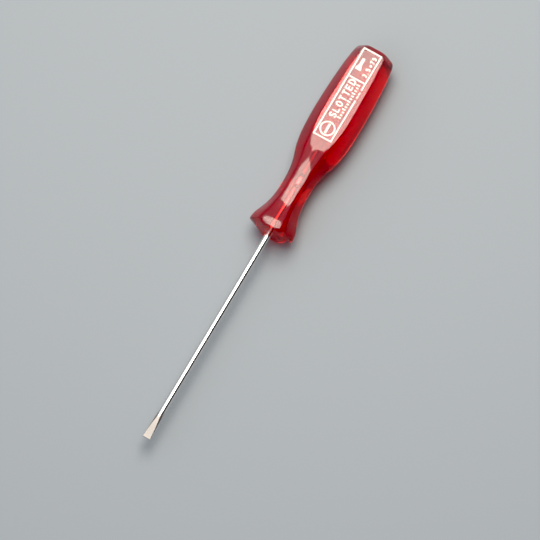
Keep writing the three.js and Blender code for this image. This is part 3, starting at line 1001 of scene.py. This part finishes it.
    def outside(self) -> np.ndarray:
        """The rings of the handle's outside, from the front face to the butt.

        They stand wherever one of the two outlines has a point, and close together where the flats begin.

        Returns:
            An array of ring, point and coordinate.
        """
        side, top = self.side_outline(), self.top_outline()
        rising = (top[:, 0] > self.neck[0]) & (top[:, 0] < self.top_grip[0])
        flat_start = np.interp(self.flat_height, self.facet_height(top[rising, 1]), top[rising, 0])
        extra = flat_start + np.linspace(*self.flat_start_zone, self.fineness.flat_start + 1)
        place = np.sort(np.concatenate([side[:, 0], top[:, 0], extra]))
        place = place[np.concatenate([[True], np.diff(place) > self.least_ring_gap])]
        place[-1] = self.length
        side_radius = np.interp(place, side[:, 0], side[:, 1])
        top_radius = np.interp(place, top[:, 0], top[:, 1])
        return self.sections(place, side_radius, top_radius)

    def socket(self, sides: int) -> np.ndarray:
        """The rings of the blind socket, from its bottom out to the front face.

        They are the blade's own sections, a little tighter, so that no air shows between steel and plastic.

        Args:
            sides: How many points each ring has: four quarters of three shares each.

        Returns:
            An array of ring, point and coordinate.
        """
        fine, start = self.fineness, self.blade.wing_start
        wing_end = start + self.blade.wing_length
        place = np.concatenate(
            [
                np.linspace(self.blade.tang_length, wing_end, fine.tang + 1)[:-1],
                np.linspace(wing_end, start, fine.wings + 1),
                np.linspace(start, 0.0, fine.shaft + 1)[1:],
            ]
        )
        return self.blade.sections(place, -self.press_fit, sides // 12)

    def build(self) -> bpy.types.Object:
        """Makes the handle's mesh: its outside, its end faces and the blind socket that holds the blade.

        The rings run from the socket's bottom out to the front face, over the outside and in to the middle of
        the butt.

        Returns:
            The handle.
        """
        outside = self.outside()
        bore = self.socket(outside.shape[1])
        share = np.linspace(0.0, 1.0, self.fineness.front_face + 1)[1:-1, None, None]
        face = bore[-1][None] * (1.0 - share) + outside[0][None] * share
        middle = outside[-1].mean(axis=0)
        inward = np.linspace(0.0, 1.0, self.fineness.butt_face + 1)[1:-1, None, None]
        butt = outside[-1][None] * (1.0 - inward) + middle[None, None] * inward
        return mesh_from_rings("clear_handle", np.concatenate([bore, face, outside, butt]))

    def dress(self, piece: bpy.types.Object) -> None:
        """Gives the handle its clear plastic.

        Args:
            piece: The handle's mesh object.
        """
        set_material(piece, ClearPlastic().make())


@dataclass
class Marking:
    """The stamped marking, whose foil pieces are the frame's own nodes."""

    nodes: dict[str, bpy.types.Object]
    foil: bpy.types.Material

    def dress(self) -> int:
        """Gives every foil node its material.

        Returns:
            How many nodes there are.
        """
        names = sorted(set(self.nodes) - {"handle", "blade"})
        for name in names:
            set_material(self.nodes[name], self.foil)
        return len(names)


# ---------------------------------------------------------------------------------------------------------
# The studio
# ---------------------------------------------------------------------------------------------------------


@dataclass(frozen=True)
class Softbox:
    """A rectangular softbox that faces the tool.

    Its size is that of its two sides, and its spin turns it about its own axis. Its radiance is how bright its
    face is, where 1 comes out as pure white. It faces the point at aim_x on the tool's axis.
    """

    name: str = "overhead_softbox"
    distance: float = 0.5
    size: tuple[float, float] = (0.36, 0.30)
    radiance: float = 9.5
    spin: float = math.radians(33.0)
    colour: tuple[float, float, float] = (1.0, 0.955, 0.82)
    aim_x: float = 0.03

    def add(self, direction: Vector, height: float) -> None:
        """Hangs the softbox. Its power is its radiance times pi times its area.

        Args:
            direction: From the tool to the light.
            height: How high the tool's axis lies.
        """
        light = bpy.data.lights.new(self.name, "AREA")
        light.shape = "RECTANGLE"
        light.size, light.size_y = self.size
        light.energy = self.radiance * math.pi * self.size[0] * self.size[1]
        light.color = self.colour
        lamp = bpy.data.objects.new(self.name, light)
        bpy.context.scene.collection.objects.link(lamp)
        back = direction.normalized()
        along = Vector((1.0, 0.0, 0.0))
        along = (along - back * along.dot(back)).normalized()
        across = back.cross(along)
        right = math.cos(self.spin) * along + math.sin(self.spin) * across
        up = back.cross(right)
        place = Vector((self.aim_x, 0.0, height)) + back * self.distance
        lamp.matrix_world = Matrix.Translation(place) @ Matrix((right, up, back)).transposed().to_4x4()


@dataclass(frozen=True)
class Room:
    """The surroundings: walls that are brighter on the +Y side, and a pale ceiling that is brightest there too.

    The ends of each change of brightness are given as parts of a direction of length 1, along Y for the walls
    and for the ceiling's one side, and along Z for the ceiling.
    """

    colour: tuple[float, float, float, float] = (0.94, 0.97, 1.0, 1.0)
    wall_ends: tuple[float, float] = (-0.9, 0.9)
    dim_wall: float = 0.04
    bright_wall: float = 0.32
    ceiling_ends: tuple[float, float] = (0.0, 0.95)
    ceiling: float = 1.08
    side_ends: tuple[float, float] = (-0.6, 0.2)
    dim_share: float = 0.1
    bright_share: float = 1.25

    def add(self) -> None:
        """Makes the surroundings and gives them to the scene."""
        world = bpy.data.worlds.new("surroundings")
        world.use_nodes = True
        nodes = world.node_tree.nodes
        links = world.node_tree.links
        room = nodes["Background"]
        room.inputs["Color"].default_value = self.colour

        direction = nodes.new("ShaderNodeTexCoord")
        direction.label = "Direction in the room"
        direction.location = (-800, 0)

        axes = nodes.new("ShaderNodeSeparateXYZ")
        axes.label = "How far to the +Y side, and how far up"
        axes.location = (-600, 0)
        links.new(direction.outputs["Generated"], axes.inputs["Vector"])

        walls = nodes.new("ShaderNodeMapRange")
        walls.label = "Dim to brighter across the room"
        walls.location = (-400, 0)
        walls.interpolation_type = "SMOOTHSTEP"
        walls.inputs["From Min"].default_value = self.wall_ends[0]
        walls.inputs["From Max"].default_value = self.wall_ends[1]
        walls.inputs["To Min"].default_value = self.dim_wall
        walls.inputs["To Max"].default_value = self.bright_wall
        links.new(axes.outputs["Y"], walls.inputs["Value"])

        overhead = nodes.new("ShaderNodeMapRange")
        overhead.label = "Pale ceiling"
        overhead.location = (-400, -300)
        overhead.interpolation_type = "SMOOTHSTEP"
        overhead.inputs["From Min"].default_value = self.ceiling_ends[0]
        overhead.inputs["From Max"].default_value = self.ceiling_ends[1]
        overhead.inputs["To Min"].default_value = 0.0
        overhead.inputs["To Max"].default_value = self.ceiling
        links.new(axes.outputs["Z"], overhead.inputs["Value"])

        one_sided = nodes.new("ShaderNodeMapRange")
        one_sided.label = "Less ceiling on the -Y side"
        one_sided.location = (-400, -600)
        one_sided.interpolation_type = "SMOOTHSTEP"
        one_sided.inputs["From Min"].default_value = self.side_ends[0]
        one_sided.inputs["From Max"].default_value = self.side_ends[1]
        one_sided.inputs["To Min"].default_value = self.dim_share
        one_sided.inputs["To Max"].default_value = self.bright_share
        links.new(axes.outputs["Y"], one_sided.inputs["Value"])

        both = nodes.new("ShaderNodeMath")
        both.label = "Ceiling and walls"
        both.location = (-200, 0)
        both.operation = "MULTIPLY_ADD"
        links.new(overhead.outputs["Result"], both.inputs[0])
        links.new(one_sided.outputs["Result"], both.inputs[1])
        links.new(walls.outputs["Result"], both.inputs[2])
        links.new(both.outputs["Value"], room.inputs["Strength"])
        bpy.context.scene.world = world


@dataclass
class Studio:
    """The camera, the floor, the softbox and the surroundings.

    The camera looks down on the tool. Its direction is given by two angles: lean, from upright towards the tip,
    and turn, round the tool's axis. It aims at a point that lies aim_right and aim_down of the handle's front
    face, as the camera sees it.
    """

    front: float
    axis_height: float
    lean: float = math.radians(14.5)
    turn: float = math.radians(7.5)
    axis_tilt: float = math.radians(30.9)
    distance: float = 2.0
    sensor_width: float = 36.0
    frame_width: float = 0.16632
    aim_right: float = 0.47 * MM
    aim_down: float = 11.06 * MM
    nearest: float = 0.01
    farthest: float = 20.0
    floor_half: float = 3.0

    def view(self) -> tuple[Vector, Vector, Vector]:
        """The camera's right, up and backward directions.

        Backward is the direction from the tool to the camera. In the picture, the tool's axis leans to the
        right of upright by axis_tilt.

        Returns:
            Right, up and backward.
        """
        back = Vector(
            (
                -math.sin(self.lean),
                -math.cos(self.lean) * math.sin(self.turn),
                math.cos(self.lean) * math.cos(self.turn),
            )
        )
        along = Vector((1.0, 0.0, 0.0))
        along = (along - back * along.dot(back)).normalized()
        aside = along.cross(back)
        right = math.sin(self.axis_tilt) * along + math.cos(self.axis_tilt) * aside
        up = math.cos(self.axis_tilt) * along - math.sin(self.axis_tilt) * aside
        return right, up, back

    def add_camera(self) -> None:
        """Makes the camera and gives it to the scene."""
        right, up, back = self.view()
        lens = bpy.data.cameras.new("camera")
        lens.sensor_width = self.sensor_width
        lens.lens = self.sensor_width * self.distance / self.frame_width
        lens.clip_start = self.nearest
        lens.clip_end = self.farthest
        camera = bpy.data.objects.new("camera", lens)
        bpy.context.scene.collection.objects.link(camera)
        front = Vector((self.front, 0.0, self.axis_height))
        aim = front + self.aim_right * right - self.aim_down * up
        place = aim + back * self.distance
        turn = Matrix((right, up, back)).transposed().to_4x4()
        camera.matrix_world = Matrix.Translation(place) @ turn
        bpy.context.scene.camera = camera

    def add_floor(self) -> None:
        """Makes the pale floor."""
        half = self.floor_half
        corners = [(-half, -half, 0.0), (half, -half, 0.0), (half, half, 0.0), (-half, half, 0.0)]
        mesh = bpy.data.meshes.new("floor")
        mesh.from_pydata(corners, [], [(0, 1, 2, 3)])
        mesh.materials.append(PalePaper().make())
        floor = bpy.data.objects.new("floor", mesh)
        bpy.context.scene.collection.objects.link(floor)

    def add_light(self) -> None:
        """Hangs the softbox where the flat mirrors it to the camera, and makes the surroundings."""
        _, _, back = self.view()
        Softbox().add(Vector((-back.x, -back.y, back.z)), self.axis_height)
        Room().add()


def develop_picture() -> None:
    """Sets how brightness becomes colour: no film curve, and a black point that takes the haze off the darks."""
    view = bpy.context.scene.view_settings
    view.view_transform = "Standard"
    view.use_curve_mapping = True
    view.curve_mapping.black_level = (BLACK_LEVEL, BLACK_LEVEL, BLACK_LEVEL)
    view.curve_mapping.update()


def main() -> None:
    """Builds the screwdriver and its studio."""
    logging.basicConfig(level=logging.INFO, format="%(name)s: %(message)s")
    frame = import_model()
    handle_low, handle_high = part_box("handle")
    blade_low, blade_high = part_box("blade")
    front = handle_low.x
    axis_height = (blade_low.z + blade_high.z) / 2

    studio = Studio(front=front, axis_height=axis_height)
    studio.add_camera()
    studio.add_floor()
    studio.add_light()
    LOG.info("studio: camera, floor, softbox and surroundings")

    blade = Blade(front=front, axis_height=axis_height)
    steel_piece = blade.build()
    blade.dress(steel_piece)
    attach(steel_piece, "root")
    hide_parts("blade")
    LOG.info("blade: %d faces", len(steel_piece.data.polygons))

    handle = Handle(front=front, axis_height=axis_height, blade=blade)
    plastic_piece = handle.build()
    handle.dress(plastic_piece)
    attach(plastic_piece, "root")
    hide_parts("handle")
    LOG.info("handle: %d faces", len(plastic_piece.data.polygons))

    marking = Marking(nodes=frame["nodes"], foil=StampedFoil().make())
    LOG.info("marking: %d foil pieces", marking.dress())

    develop_picture()


if __name__ == "__main__":
    main()
